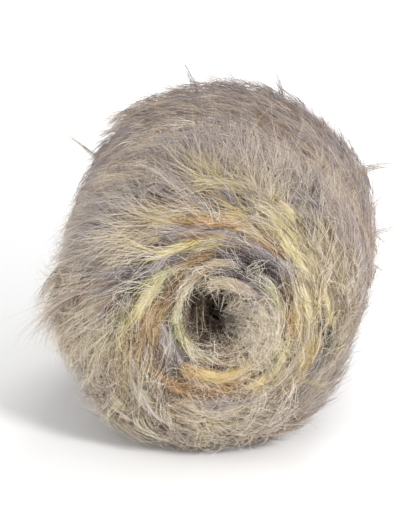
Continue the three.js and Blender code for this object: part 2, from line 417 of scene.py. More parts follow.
# Where a dye shows as a band on the barrel: its middle in degrees clockwise from the top
# and in millimetres from the front lip, how far it reaches either way, and its strength.
BARREL_BANDS = [
    (350, 63, 20, 2.0, 0.45, "cream"),
    (340, 60, 5, 1.6, 0.8, "orange"),
    (20, 69, 14, 2.0, 0.7, "brown"),
    (30, 65, 9, 1.6, 0.6, "honey"),
    (345, 74, 16, 2.2, 0.9, "smoke"),
    (15, 76, 18, 2.4, 0.9, "fawn"),
    (22, 88, 18, 4.0, 0.8, "smoke"),
    (32, 96, 9, 2.0, 0.6, "brown"),
    (32, 55, 8, 3.0, 0.6, "orange"),
    (46, 60, 10, 3.0, 0.6, "tan"),
    (350, 82, 22, 2.5, 0.9, "fawn"),
    (340, 92, 20, 3.5, 0.8, "smoke"),
    (0, 102, 30, 3.0, 0.8, "smoke"),
    (315, 42, 30, 9.0, 0.6, "tan"),
    (272, 38, 25, 9.0, 0.6, "tan"),
]


def heather(way_along, rng):
    """How much of each dye the barrel's yarn has along it."""
    blend = np.zeros((len(way_along), len(DYES)))
    blend[:, DYE["taupe"]] = 0.2
    for name, amount, spell in HEATHER:
        wave = np.sin(way_along / (spell * MM) + rng.uniform(0, 2 * np.pi))
        blend[:, DYE[name]] += amount * np.clip(0.3 + wave, 0, None)
    return blend / blend.sum(1, keepdims=True)


def banded(blend, arc, angle):
    """The same where a band shows."""
    for middle, from_lip, turned, wide, amount, name in BARREL_BANDS:
        off = (np.degrees(angle) - middle + 180) % 360 - 180
        near = np.exp(-(off / turned) ** 2 - ((arc / MM - from_lip) / wide) ** 2)
        near = amount * near[:, None]
        blend = blend * (1 - near)
        blend[:, DYE[name]] += near[:, 0]
    return blend


barrel_turns = []
for lot, (count, travel, deeper) in enumerate(WINDINGS):
    for k in range(count):
        rng = np.random.default_rng(50 * lot + k)
        turn = (BARREL_TO - BARREL_FROM) / abs(travel * MM)
        around = turn * 2 * math.pi * BARREL_RADIUS * MM
        share = np.linspace(0, 1, int(around / BARREL_STEP))
        arc = BARREL_FROM + (BARREL_TO - BARREL_FROM) * share
        angle = 2 * np.pi * (k / count + math.copysign(turn, travel) * share)
        wander = 0.6 * MM * np.sin(9 * share * 2 * np.pi + k)
        blend = banded(heather(share * turn * BARREL_ROUND * MM, rng), arc, angle)
        depth = WINDING_DEPTH + deeper * MM + wander
        barrel_turns.append(laid_turn(arc, angle, depth, blend, rng.uniform(-0.08, 0.06)))

# The rear end is a plain spiral of turns, some of which change colour as the front ones do.
REAR_ARMS, REAR_ROUNDS, REAR_REACH = 6, 1.15, 28 * MM
REAR_YARN, REAR_POINTS = 200 * MM, 130  # in one arm
REAR_DYES = "taupe tan butter cream orange tan"
rear_turns = []
for k in range(REAR_ARMS):
    share = np.linspace(0, 1, REAR_POINTS)
    arc = REAR_ARC - 1 * MM - REAR_REACH * (1 - share)
    angle = 2 * np.pi * (k / REAR_ARMS + REAR_ROUNDS * share)
    blend = heather(share * REAR_YARN, np.random.default_rng(300 + k))
    if k % 3 == 0:
        blend = 0.5 * blend + 0.5 * dyed(REAR_DYES, share)
    rear_turns.append(laid_turn(arc, angle, TURN_DEPTH, blend))

# The tunnel is lined with the turns that the winder laid first. Their dye at places round it,
# in degrees clockwise from the top. The umber, from the bottom round the left to the top, is
# painted shade that darkens the inside of the hole.
LINING = {
    0: "brown", 30: "slate", 60: "mauve", 80: "cream", 96: "brown", 112: "cream",
    140: "tan", 160: "brown", 185: "umber", 320: "brown", 340: "umber",
}
LINING_DYES = np.array(dye_list(" ".join(LINING.values())))
LINING_FROM, LINING_REACH = 3.5, 28  # inwards from a lip, in millimetres
LINING_OPENS = 245  # degrees clockwise from the top, where it lies furthest from the middle
TUNNEL_TURNS, TUNNEL_BEGINS, TUNNEL_POINTS = 7, 200, 320
tunnel_turns = []
for end, sense in ((0, -1), (REAR_ARC, 1)):
    share = np.linspace(0, 1, TUNNEL_POINTS)
    arc = end + sense * (LINING_FROM + LINING_REACH * share) * MM
    angle = 2 * np.pi * TUNNEL_TURNS * share + math.radians(TUNNEL_BEGINS)
    nearest = np.searchsorted(list(LINING), np.degrees(angle) % 360, side="right") - 1
    blend = np.eye(len(DYES))[LINING_DYES[nearest]]
    wider = np.cos(angle - math.radians(LINING_OPENS))
    depth = (1.1 + 1.5 * wider + 0.4 * np.sin(angle * 2.6)) * MM
    tunnel_turns.append(laid_turn(arc, angle, depth, blend))


# A thread is spun from its path, which is edges with a thickness at each point: a ring of sides
# runs along it, is closed at both ends, and is merged where it tapers to nothing.
CLOSING_GAP = 0.002 * MM
spin = bpy.data.node_groups.new("spin threads", "GeometryNodeTree")
for name, kind, direction in (
    ("Threads", "NodeSocketGeometry", "INPUT"),
    ("Sides", "NodeSocketInt", "INPUT"),
    ("Material", "NodeSocketMaterial", "INPUT"),
    ("Threads", "NodeSocketGeometry", "OUTPUT"),
):
    spin.interface.new_socket(name, in_out=direction, socket_type=kind)
source = add_node(spin, "NodeGroupInput")
path = add_node(spin, "GeometryNodeMeshToCurve", {"Mesh": source.outputs["Threads"]})
ring = add_node(
    spin, "GeometryNodeCurvePrimitiveCircle",
    {"Resolution": source.outputs["Sides"], "Radius": 1.0},
)
place = add_node(spin, "GeometryNodeSplineParameter")
ring = add_node(
    spin, "GeometryNodeStoreNamedAttribute",
    {"Geometry": ring, "Name": "round", "Value": place.outputs["Factor"]},
    {"data_type": "FLOAT", "domain": "POINT"},
)
thick = add_node(
    spin, "GeometryNodeInputNamedAttribute", {"Name": "thick"}, {"data_type": "FLOAT"}
)
tube = add_node(
    spin, "GeometryNodeCurveToMesh",
    {"Curve": path, "Profile Curve": ring, "Scale": thick, "Fill Caps": True},
)
closed = add_node(
    spin, "GeometryNodeMergeByDistance", {"Geometry": tube, "Distance": CLOSING_GAP}
)
smooth = add_node(spin, "GeometryNodeSetShadeSmooth", {"Geometry": closed})
real = add_node(spin, "GeometryNodeRealizeInstances", {"Geometry": smooth})
coloured = add_node(
    spin, "GeometryNodeSetMaterial",
    {"Geometry": real, "Material": source.outputs["Material"]},
)
add_node(spin, "NodeGroupOutput", {"Threads": coloured})


def spun(name, paths, numbers, sides, material):
    """A piece of threads. paths: lists of points. numbers: name to a value or colour a point."""
    points = np.concatenate(paths)
    ends = np.cumsum([len(path) for path in paths])
    starts = np.delete(np.arange(len(points)), ends - 1)
    edges = np.stack([starts, starts + 1], 1)
    mesh = bpy.data.meshes.new(name)
    mesh.vertices.add(len(points))
    mesh.vertices.foreach_set("co", points.astype(np.float32).ravel())
    mesh.edges.add(len(starts))
    mesh.edges.foreach_set("vertices", edges.astype(np.int32).ravel())
    for key, values in numbers.items():
        values = np.asarray(values, np.float32)
        kind, field = ("FLOAT_COLOR", "color") if len(values) != values.size else ("FLOAT", "value")
        mesh.attributes.new(key, kind, "POINT").data.foreach_set(field, values.ravel())
    piece = placed(name, mesh)
    maker = piece.modifiers.new("spin", "NODES")
    maker.node_group = spin
    sockets = {s.name: s.identifier for s in spin.interface.items_tree if s.in_out == "INPUT"}
    maker[sockets["Sides"]] = sides
    maker[sockets["Material"]] = material
    depsgraph = bpy.context.evaluated_depsgraph_get()
    made = piece.evaluated_get(depsgraph)
    real = bpy.data.meshes.new_from_object(made, preserve_all_data_layers=True, depsgraph=depsgraph)
    piece.data = real
    piece.modifiers.clear()
    bpy.data.meshes.remove(mesh)
    real.name = name
    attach(piece, "root")
    return piece


# Dyed alpaca lies nearly parallel in the yarn, so a turn shows fine streaks along it, 4 mm long
# and about 0.9 mm wide, lighter and darker than its dye, the darker ones partly painted shade in
# the grooves between fibres, and is too rough to shine.
STREAK_LENGTH, STREAKS_ROUND = 4 * MM, 14


def mixed(tree, factor, below, above, blend="MIX"):
    """Two colours mixed by a Mix node, whose colour sockets are 6, 7 and, as output, 2."""
    return add_node(
        tree, "ShaderNodeMix", {"Factor": factor, 6: below, 7: above},
        {"data_type": "RGBA", "blend_type": blend},
    ).outputs[2]


dyed_yarn, tree, shader = fibre_material("dyed alpaca yarn", 0.8)
tint, run, around = (
    add_node(tree, "ShaderNodeAttribute", {}, {"attribute_name": name})
    for name in ("tint", "run", "round")
)
twisted = add_node(
    tree, "ShaderNodeCombineXYZ", {"X": run.outputs["Fac"], "Y": around.outputs["Fac"]}
)
streak = add_node(
    tree, "ShaderNodeMapping",
    {"Vector": twisted, "Scale": (1 / STREAK_LENGTH, STREAKS_ROUND, 1)},
)
streaks = add_node(tree, "ShaderNodeTexNoise", {"Vector": streak, "Scale": 1.0, "Detail": 3})
# Darker streaks are the low ones of the bump: partly grain, partly painted shade in grooves.
depth = add_node(
    tree, "ShaderNodeMapRange",
    {"Value": streaks, "From Min": 0.3, "From Max": 0.7, "To Min": 0.5},
)
shaded = mixed(tree, 1.0, tint, depth, "MULTIPLY")
bump = add_node(tree, "ShaderNodeBump", {"Height": streaks, "Strength": 0.8, "Distance": 0.5 * MM})
tree.links.new(shaded, shader.inputs["Base Color"])
tree.links.new(bump.outputs["Normal"], shader.inputs["Normal"])
dye_colours = np.array([linear(code) for code in DYES.values()])


def spun_turns(name, turns, sides, thickness):
    """Turns of yarn as one piece, thinner towards their tucked ends and uneven along them."""
    thick = []
    for k, turn in enumerate(turns):
        share = np.linspace(0, 1, len(turn["arc"]))
        short_waves = 0.08 * np.sin(turn["length"] / (2.3 * MM) + k)
        long_waves = 0.06 * np.sin(turn["length"] / (5.1 * MM) + 2 * k)
        tucked = np.clip(np.minimum(share, 1 - share) / 0.06, 0.25, 1)
        thick.append(YARN_RADIUS * thickness * (1 + short_waves + long_waves) * tucked)
    numbers = {
        "thick": np.concatenate(thick),
        "tint": np.concatenate([turn["blend"] for turn in turns]) @ dye_colours,
        "run": np.concatenate([turn["length"] + k for k, turn in enumerate(turns)]),
    }
    spun(name, [turn["place"] for turn in turns], numbers, sides, dyed_yarn)


spun_turns("front_turns", front_turns, sides=9, thickness=0.82)
spun_turns("barrel_turns", barrel_turns, sides=5, thickness=1)
spun_turns("rear_turns", rear_turns, sides=8, thickness=1.05)
spun_turns("tunnel_turns", tunnel_turns, sides=7, thickness=0.95)

# The pile: the yarn is brushed after it is spun, so that fine fibres stand out of every turn.
# They clump into small locks, lean with the winding, and flow outwards over the front rim. Each
# is one closed, three-sided, tapered fibre, drawn two or three times as thick as a real one,
# which would be too fine to show.
FIBRE_RADIUS = 0.06 * MM
FLOOR_GAP = 0.15 * MM
AMOUNT = 1.0
ROOT_HEIGHT = 0.9  # where a fibre starts, of how high its turn is there
NEAREST = 4 * MM  # the least distance from the axis that counts, so that no fibre whirls round it

# How the pile is combed: at each angle clockwise from the top, how many degrees it turns away
# from the counter-clockwise way to the outward one, near the mouth, near the rim, and on the
# barrel behind the rim.
COMBING = np.array([
    (0, 10, 40, 85),
    (30, 10, 40, 85),
    (60, 5, 30, 65),
    (90, 5, 15, 35),
    (135, 5, 10, 15),
    (180, 15, 38, 38),
    (225, 25, 62, 60),
    (260, 20, 50, 50),
    (290, 20, 55, 55),
    (315, 20, 45, 45),
    (335, 15, 40, 50),
    (360, 10, 40, 85),
])
RIM, BEHIND_RIM = 25, 22  # from the lip to the rim and on to the barrel, in millimetres


def combed(arc, angle):
    """The heading of the combed pile at places on the front end and behind its rim."""
    degrees = np.degrees(angle) % 360
    inner, rim, barrel = (np.interp(degrees, COMBING[:, 0], COMBING[:, i]) for i in (1, 2, 3))
    place = arc / MM
    turned = np.where(
        place < RIM,
        inner + (rim - inner) * np.clip(place / RIM, 0, 1),
        rim + (barrel - rim) * np.clip((place - RIM) / BEHIND_RIM, 0, 1),
    )
    return np.radians(turned - 90)


def towards(angle, side):
    """How much places face a side: from 1 there to 0 at a right angle to it and beyond."""
    return np.clip(np.cos(angle - math.radians(side)), 0, 1)


def underneath(angle, top, until):
    """How far down places are: 0 above the middle of the ball, and 1 on its underside."""
    return np.clip(-np.cos(angle - math.radians(top)) - 0.3, 0, until) / until


def roots_on(turns, count, rng):
    """Places over the turns: their arc, angle, height, the turn's heading there, and its dye."""
    count = int(count * AMOUNT)
    lengths = np.array([turn["length"][-1] for turn in turns])
    chosen = rng.choice(len(turns), count, p=lengths / lengths.sum())
    found = {key: np.empty(count) for key in ("arc", "angle", "depth", "heading", "tone")}
    blend = np.empty((count, len(DYES)))
    for k, turn in enumerate(turns):
        mine = chosen == k
        at = rng.uniform(0.01, 0.99, mine.sum()) * turn["length"][-1]
        for key in found:
            found[key][mine] = np.interp(at, turn["length"], turn[key])
        blend[mine] = np.stack([np.interp(at, turn["length"], dye) for dye in turn["blend"].T], 1)
    sums = np.cumsum(blend, 1)
    found["dye"] = (rng.random((count, 1)) * sums[:, -1:] < sums).argmax(1)
    found["aside"] = rng.uniform(-1, 1, count)
    aside = YARN_RADIUS * found["aside"]
    over = np.sqrt(np.maximum(YARN_RADIUS ** 2 - aside ** 2, 0)) * ROOT_HEIGHT
    found["arc"] = found["arc"] + aside
    found["height"] = over - found["depth"] + rise_at(row_at(found["arc"]), found["angle"])
    return found


def some(root, kept):
    """The roots that are kept."""
    return {key: values[kept] for key, values in root.items()}


def locks(root, rng, members=1, width=0):
    """Each root becomes that of a lock of fibres, which stand as wide as this round it, in
    millimetres. Also how many fibres that makes."""
    many = {key: np.repeat(values, members) for key, values in root.items()}
    count = len(many["arc"])
    reach = reach_at(row_at(many["arc"]))
    many["to_arc"] = rng.normal(0, width * MM, count)
    many["to_angle"] = rng.normal(0, width * MM, count) / np.maximum(reach, NEAREST)
    return many, count


def grown(root, heading, turning, climb, fall, length, steps, together=0):
    """Fibres drawn over the ball step by step, their lengths in millimetres. A heading of 0 is
    outwards or rearwards and 90 degrees is clockwise. climb and fall: a fibre's angle above the
    ball at its root and at its tip. together: how much a lock's fibres draw together there."""
    arc, angle, height = root["arc"], root["angle"], root["height"]
    step = length * MM / steps
    points = []
    for i in range(steps + 1):
        share = i / steps
        apart = 1 - together * share
        t = row_at(arc + apart * root["to_arc"])
        place, normal = plain_surface(t, angle + apart * root["to_angle"])
        points.append(place + normal * height[:, None])
        rise = climb + (fall - climb) * share
        way = heading + turning * share
        reach = np.maximum(reach_at(t) + height, NEAREST)
        arc = arc + step * np.cos(rise) * np.cos(way)
        angle = angle + step * np.cos(rise) * np.sin(way) / reach
        height = height + step * np.sin(rise)
    points = np.stack(points, 1)
    points[..., 2] = np.maximum(points[..., 2], FLOOR_GAP)
    return points


# Alpaca is a smooth, dry keratin fibre. A brushed one keeps its dye near the yarn and is paler
# and more silvery towards its tip; towards its root, in the depth of the pile, it is darkened as
# painted shade. The fibre's map holds its dye across, each from a darker to a lighter shade, and
# how pale it is upwards.
brushed_pile, tree, shader = fibre_material("brushed alpaca pile", 0.55)
place = add_node(tree, "ShaderNodeUVMap", settings={"uv_map": "OFBake"})
parts = add_node(tree, "ShaderNodeSeparateXYZ", {"Vector": place})
ramp = add_node(tree, "ShaderNodeValToRGB", {"Fac": parts.outputs["X"]})
stops = ramp.color_ramp.elements
stops.remove(stops[1])
for k, code in enumerate(DYES.values()):
    for side, strength in ((0.25, 0.9), (0.75, 1.08)):
        at = (k + side) / len(DYES)
        stop = stops.new(at) if k or side > 0.5 else stops[0]
        stop.position = at
        stop.color = [strength * c for c in linear(code)[:3]] + [1]
# The dye darkened towards a dark brown: painted shade for the depth of the pile.
painted_depth_shade = mixed(tree, 1.0, ramp, linear("#706553"), "MULTIPLY")
silver = mixed(tree, 0.7, ramp, linear("#F0E8DC"))
darker = add_node(tree, "ShaderNodeMapRange", {"Value": parts.outputs["Y"], "From Max": 0.5})
paler = add_node(tree, "ShaderNodeMapRange", {"Value": parts.outputs["Y"], "From Min": 0.5})
upper = mixed(tree, paler, mixed(tree, darker, painted_depth_shade, ramp), silver)
tree.links.new(upper, shader.inputs["Base Color"])
TAPER = 0.6
UNEVEN = (0.7, 1.4)  # from the thinnest to the thickest fibre of a piece
DYE_SHADE = (0.22, 0.72)  # the darkest and the lightest shade of its dye
ACROSS = 0.004  # how wide a fibre is on its map


def pile(name, fibres, dye, tone, rng, thickness=1.0, fade=0.4, material=brushed_pile):
    """A piece of fibres. tone: from 0, dark, to 1, pale, for each fibre's middle. fade: how much
    paler a fibre gets from its root to its tip."""
    count, points = fibres.shape[:2]
    along = np.linspace(0, 1, points)[None, :]
    width = FIBRE_RADIUS * thickness * rng.uniform(*UNEVEN, (count, 1))
    numbers = {
        "thick": (width * (1 - along) ** TAPER).ravel(),
        "dye": np.repeat((dye + rng.uniform(*DYE_SHADE, count)) / len(DYES), points),
        "shade": np.clip(tone[:, None] + fade * (along - 0.5), 0, 1).ravel(),
    }
    fitted = spun(name, list(fibres), numbers, 3, material).data
    corners = np.empty(len(fitted.loops), np.int32)
    fitted.loops.foreach_get("vertex_index", corners)
    at = {key: np.empty(len(fitted.vertices), np.float32) for key in ("dye", "shade", "round")}
    for key, values in at.items():
        fitted.attributes[key].data.foreach_get("value", values)
    chart = np.stack([at["dye"] + ACROSS * at["round"], at["shade"]], 1)[corners]
    fitted.uv_layers.new(name="OFBake").uv.foreach_set("vector", chart.clip(0, 1).ravel())


# The grain of the front end: short brushed fibres, rooted in its turns and lying along them,
# paler on top of a turn than between turns as painted light and shade, and darker in the dark
# dyes. Over a quarter of the locks have worked loose and lie askew.
DARK_DYES = dye_list("slate brown orange umber smoke")
rng = np.random.default_rng(1)
root, n = locks(roots_on(front_turns, 3950, rng), rng, members=4, width=0.25)
loose = np.where(np.repeat(rng.random(n // 4), 4) < 0.28, 3.5, 1.0)
heading = root["heading"] + math.pi * (rng.random(n) < 0.75) + rng.normal(0, 0.12, n) * loose
fibres = grown(
    root, heading, rng.normal(0, 0.35, n) * loose, rng.uniform(0.02, 0.2, n) * loose ** 0.6,
    rng.uniform(-0.25, 0.05, n), rng.uniform(4.5, 8, n), steps=2, together=0.3,
)
# Paler on a turn's crown and darker at its sides: painted light and shade that round the turn.
tone = 0.8 - 0.6 * root["aside"] ** 2 + np.repeat(rng.uniform(-0.35, 0.25, n // 4), 4)
tone = tone - 0.25 * np.isin(root["dye"], DARK_DYES)
pile("front_grain", fibres, root["dye"], tone, rng, thickness=1.05)

# The sweep of the front end: longer brushed fibres, rooted in its turns, in locks that the
# winding has combed round and outwards, in order on the upper left and frizzy below. The turns
# round the mouth are bare of them, most of all on the upper right.
UPPER_LEFT, TOP, UPPER_RIGHT, LOWER_LEFT = 295, 20, 40, 222  # degrees clockwise from the top
rng = np.random.default_rng(2)
root = roots_on(front_turns, 2220, rng)
bare = (9 + 8 * towards(root["angle"], UPPER_RIGHT)) * MM
root = some(root, root["arc"] > bare + rng.uniform(-6, 10, len(bare)) * MM)
root, n = locks(root, rng, members=5, width=0.5)
calm = towards(root["angle"], UPPER_LEFT)
low = underneath(root["angle"], TOP, 0.4)
right = np.clip(np.sin(root["angle"]), 0, 1)
bend = np.repeat(rng.normal(0, 1, n // 5), 5) * (0.6 - 0.35 * calm + 0.05 * low)
curl = np.repeat(rng.normal(0, 1, n // 5), 5) * (0.8 - 0.5 * calm + 0.5 * low)
heading = combed(root["arc"], root["angle"]) + bend + rng.normal(0, 0.15, n)
fibres = grown(
    root, heading, 0.3 + curl + rng.normal(0, 0.3, n) * (1 + 1.5 * low),
    rng.uniform(0.1, 0.5, n) * (1 - 0.5 * low - 0.4 * right), rng.uniform(-0.25, 0.15, n),
    rng.uniform(9, 14, n) * (1 + 0.6 * calm + 0.2 * low), steps=4, together=0.6,
)
# Darker on the underside of the ball as painted shade, and darker towards the lower left.
lower_left = np.clip(np.cos(root["angle"] - math.radians(LOWER_LEFT)), 0.6, 1) - 0.6
tone = np.repeat(rng.uniform(0.05, 1.0, n // 5), 5) * (1 - 0.3 * calm) + 0.33 * calm
tone = tone - 0.1 * low - 0.25 * lower_left
strays = (root["dye"] == DYE["yellow"]) & (rng.random(n) < 0.7)
dye = np.where(strays, DYE["cream"], root["dye"])
pile("front_sweep", fibres, dye, tone, rng, thickness=0.9)

# The web of the front end: single pale fibres that have slipped out of their locks and lie over
# them, curled this way and that, most of them below.
rng = np.random.default_rng(3)
root = roots_on(front_turns, 5600, rng)
n = len(root["arc"])
outside = np.clip(root["arc"] / (10 * MM), 0, 1)
more_below = -0.35 * np.cos(root["angle"] - math.radians(10)) * outside
root, n = locks(some(root, rng.random(n) < 0.45 + more_below), rng)
any_way = rng.uniform(-math.pi, math.pi, n)
heading = np.where(rng.random(n) < 0.5, combed(root["arc"], root["angle"]), any_way)
fibres = grown(
    root, heading, rng.normal(0, 2.2, n), rng.uniform(0.1, 0.7, n),
    rng.uniform(-0.5, 0.3, n), rng.uniform(5, 12, n), steps=5,
)
dye = np.where(rng.random(n) < 0.5, root["dye"], DYE["cream"])
pile("front_web", fibres, dye, rng.uniform(0.6, 1, n), rng, thickness=0.85)

# The stream over the rim: long pale locks of brushed fibre, rooted in the outer turns of the
# front and the first ones of the barrel, that the winding has drawn up over the rim. At the top
# they are thinner and mostly taupe.
VIVID_DYES = dye_list("butter yellow honey lime cream")
rng = np.random.default_rng(4)
root = roots_on(front_turns + barrel_turns, 2900, rng)
n = len(root["arc"])
kept = (root["arc"] > rng.uniform(20, 32, n) * MM) & (root["arc"] < rng.uniform(36, 58, n) * MM)
kept = kept & (rng.random(n) > 0.6 * towards(root["angle"], TOP))
root, n = locks(some(root, kept), rng, members=8, width=0.9)
bend = np.repeat(rng.normal(0, 0.35, n // 8), 8)
heading = combed(root["arc"], root["angle"]) + bend + rng.normal(0, 0.12, n)
low = underneath(root["angle"], 0, 0.5)
calm = towards(root["angle"], UPPER_LEFT)
top = towards(root["angle"], TOP)
right = np.clip(np.sin(root["angle"]), 0, 1)
curl = np.repeat(rng.normal(0, 0.5, n // 8), 8) + rng.normal(0, 0.3, n)
rise = np.repeat(rng.uniform(0.15, 0.6, n // 8), 8) + rng.normal(0, 0.05, n)
rise = rise * (1 - 0.6 * low) * (1 - 0.5 * right)
fibres = grown(
    root, heading, curl, rise, rng.uniform(-0.2, 0.2, n) - 0.1 * low - 0.1 * right,
    rng.uniform(7, 12, n) * (1 + 0.5 * calm), steps=4, together=0.6,
)
tone = np.repeat(rng.uniform(0.25, 0.95, n // 8), 8) * (1 - 0.35 * top - 0.3 * calm) + 0.4 * calm
faded = np.isin(root["dye"], VIVID_DYES) & (rng.random(n) < 0.9 * top)
dye = np.where(faded, DYE["taupe"], root["dye"])
pile("rim_stream", fibres, dye, tone, rng, thickness=0.85)

# The longest hairs of all stand up from the top of the rim, one by one, where nothing presses
# them down. They are rooted in the same turns and most are taupe.
rng = np.random.default_rng(5)
root = roots_on(front_turns + barrel_turns, 16000, rng)
n = len(root["arc"])
turned = (np.degrees(root["angle"]) + 180) % 360 - 180
kept = (root["arc"] > 24 * MM) & (root["arc"] < rng.uniform(36, 60, n) * MM)
kept = kept & (np.abs(turned - 14) < rng.uniform(10, 48, n))
root, n = locks(some(root, kept), rng, members=2, width=0.8)
heading = np.radians(-10) + np.repeat(rng.normal(0, 0.3, n // 2), 2) + rng.normal(0, 0.1, n)
fibres = grown(
    root, heading, rng.normal(0, 0.4, n), rng.uniform(0.25, 0.7, n),
    rng.uniform(-0.1, 0.35, n), rng.uniform(8, 18, n), steps=5, together=0.3,
)
dye = np.where(rng.random(n) < 0.25, root["dye"], DYE["taupe"])
pile("top_stream", fibres, dye, rng.uniform(0.45, 0.85, n), rng, thickness=0.85)

# The barrel's dense pile: short brushed fibres, combed round it by the winding and felted into
# each other, in two pieces. It stands deeper on top and on the right. Felted alpaca scatters
# the light, so it is duller than the brushed pile.
felted_pile = brushed_pile.copy()
felted_pile.name = "felted alpaca pile"
shader = felted_pile.node_tree.nodes["Principled BSDF"]
shader.inputs["Roughness"].default_value = 0.85
shader.inputs["Specular IOR Level"].default_value = 0.12


def deeper_pile(angle):
    """How much deeper the pile stands at places round the barrel."""
    return (1.9 * towards(angle, 345) ** 3 + 1.1 * towards(angle, 70) ** 2) * MM


for part in (1, 2):
    rng = np.random.default_rng(9 + part)
    root, n = locks(roots_on(barrel_turns, 2150, rng), rng, members=4, width=1.0)
    root["height"] = root["height"] + rng.uniform(0.2, 1, n) * deeper_pile(root["angle"])
    heading = np.radians(-78) + rng.normal(0, 0.45, n)
    fibres = grown(
        root, heading, rng.normal(0, 0.9, n), rng.uniform(0, 0.45, n),
        rng.uniform(-0.45, 0, n), rng.uniform(4, 8, n), steps=2,
    )
    # A little darker on the right and paler on the left: painted shade that offsets the right soft
    # box.
    tone = rng.normal(0.59, 0.03, n) - 0.06 * np.sin(root["angle"]) + root["tone"]
    name = f"barrel_pile_{part}"
    pile(name, fibres, root["dye"], tone, rng, thickness=1.6, fade=0.1, material=felted_pile)

# The barrel's hairs: longer, finer fibres of the same alpaca that stand out of its felted pile,
# which holds them at the root.
rng = np.random.default_rng(20)
root, n = locks(roots_on(barrel_turns, 1100, rng), rng, members=4, width=1.5)
deeper = deeper_pile(root["angle"])
root["height"] = root["height"] + rng.uniform(0.2, 1, n) * deeper
fibres = grown(
    root, np.radians(-75) + rng.normal(0, 0.7, n), rng.normal(0, 0.8, n),
    rng.uniform(0.2, 0.8, n) + 0.15 * deeper / MM, rng.uniform(-0.3, 0.3, n),
    rng.uniform(6, 11, n), steps=3,
)
tone = rng.uniform(0.42, 0.62, n) + root["tone"]
pile(
    "barrel_hairs", fibres, root["dye"], tone, rng, thickness=0.6, fade=0.1,
    material=felted_pile,
)

# The pile of the rear end: brushed fibres in locks, which lean back along its spiral turns and a
# little to their side.
rng = np.random.default_rng(30)
root, n = locks(roots_on(rear_turns, 850, rng), rng, members=4, width=0.5)
heading = root["heading"] + math.pi + rng.normal(0, 0.3, n) + 0.4
fibres = grown(
    root, heading, 0.4 + rng.normal(0, 0.3, n), rng.uniform(0.2, 0.8, n),
    rng.uniform(-0.25, 0.2, n), rng.uniform(6, 12, n), steps=3, together=0.5,
)
pile("rear_pile", fibres, root["dye"], rng.uniform(0.3, 0.9, n), rng)

# The grain of the tunnel: short brushed fibres along the turns of its lining, most of them near
# its mouths, where the winder's mandrel has not pressed them flat.
rng = np.random.default_rng(40)
root = roots_on(tunnel_turns, 800, rng)
n = len(root["arc"])
depth_in = REAR_ARC / 2 + rng.uniform(0, 25, n) * MM
root = some(root, np.abs(root["arc"] - REAR_ARC / 2) < depth_in)
root, n = locks(root, rng, members=3, width=0.3)
heading = root["heading"] + math.pi * (rng.random(n) < 0.5) + rng.normal(0, 0.3, n)
fibres = grown(
    root, heading, rng.normal(0, 0.5, n), rng.uniform(0.1, 0.5, n),
    rng.uniform(-0.3, 0.2, n), rng.uniform(3, 7, n), steps=3, together=0.3,
)
pile("tunnel_grain", fibres, root["dye"], rng.uniform(0.1, 0.8, n), rng)


# The fuzz of the mouths: single curly fibres, rooted in the lining, that half fill the tunnel.
# They are dark umber and brown as painted shade in the hole, and most of them grow on the left.
SHADED_SIDE, LIT_SIDE = 285, 100  # in degrees clockwise from the top


def from_lip(root):
    """How far inside the tunnel roots are, in millimetres."""
    return np.maximum(-root["arc"], root["arc"] - REAR_ARC) / MM


rng = np.random.default_rng(41)
root = roots_on(tunnel_turns, 5000, rng)
n = len(root["arc"])
inside = from_lip(root)
share = 0.55 + 0.45 * np.cos(root["angle"] - math.radians(SHADED_SIDE))
kept = (inside > 2) & (inside < 20) & (rng.random(n) < share)
root, n = locks(some(root, kept), rng)
fibres = grown(
    root, rng.uniform(-math.pi, math.pi, n), rng.normal(0, 2.2, n), rng.uniform(0.2, 1.1, n),
    rng.uniform(-0.6, 0.9, n), rng.uniform(4, 8, n), steps=4,
)
# Dark dyes and low tones: painted shade in the hole.
dye = rng.choice(dye_list("umber umber umber brown"), n)
pile("mouth_fuzz", fibres, dye, rng.uniform(0.05, 0.4, n), rng, thickness=0.9)

# The curls of the mouths: longer, pale fibres, rooted in the lining and in the innermost turns
# of the front end, most of them on the right, the lit side: pale partly in their own cream, tan
# and fawn dyes and partly as painted light.
rng = np.random.default_rng(42)
root = roots_on(tunnel_turns + front_turns[-7:], 7400, rng)
n = len(root["arc"])
inside = from_lip(root)
share = 0.5 + 0.5 * np.cos(root["angle"] - math.radians(LIT_SIDE))
kept = (inside > -2) & (inside < 16) & (rng.random(n) < share ** 2)
root, n = locks(some(root, kept), rng)
fibres = grown(
    root, rng.uniform(-math.pi, math.pi, n), rng.normal(0, 2.4, n), rng.uniform(0.3, 1.3, n),
    rng.uniform(-0.5, 0.8, n), rng.uniform(6, 11, n), steps=5,
)
dye = rng.choice(dye_list("cream cream tan fawn"), n)
pile("mouth_curls", fibres, dye, rng.uniform(0.4, 1, n), rng, thickness=0.75)

# Threads that hang across the mouths of the tunnel, most of them dark as painted shade of the hole:
# long fibres that are held by the lining at both ends, and have bridged it since the mandrel was
# drawn out.
rng = np.random.default_rng(43)
n = int(500 * AMOUNT)
front = rng.random(n) < 0.75
inside = rng.uniform(4, 20, n) * MM
first = np.where(front, -inside, REAR_ARC + inside)
second = first + rng.normal(0, 1.5, n) * MM
begin = math.radians(280) + rng.normal(0, 1.0, n)
stop = begin + rng.uniform(1.0, 2.4, n) * rng.choice((-1, 1), n)
ends = [plain_surface(row_at(arc), angle)[0] for arc, angle in ((first, begin), (second, stop))]
share = np.linspace(0, 1, 7)[None, :, None] * rng.uniform(0.5, 1, (n, 1, 1))
swing = rng.normal(0, 1.3, (n, 1, 3)) * np.sin(math.pi * share)
swing = swing + rng.normal(0, 0.5, (n, 1, 3)) * np.sin(3 * math.pi * share)
fibres = ends[0][:, None] * (1 - share) + ends[1][:, None] * share + swing * MM
dye = rng.choice(dye_list("umber umber umber umber tan"), n)
pale = dye == DYE["tan"]
tone = np.where(pale, rng.uniform(0.4, 0.9, n), rng.uniform(0.15, 0.55, n))
pile("mouth_threads", fibres, dye, tone, rng)

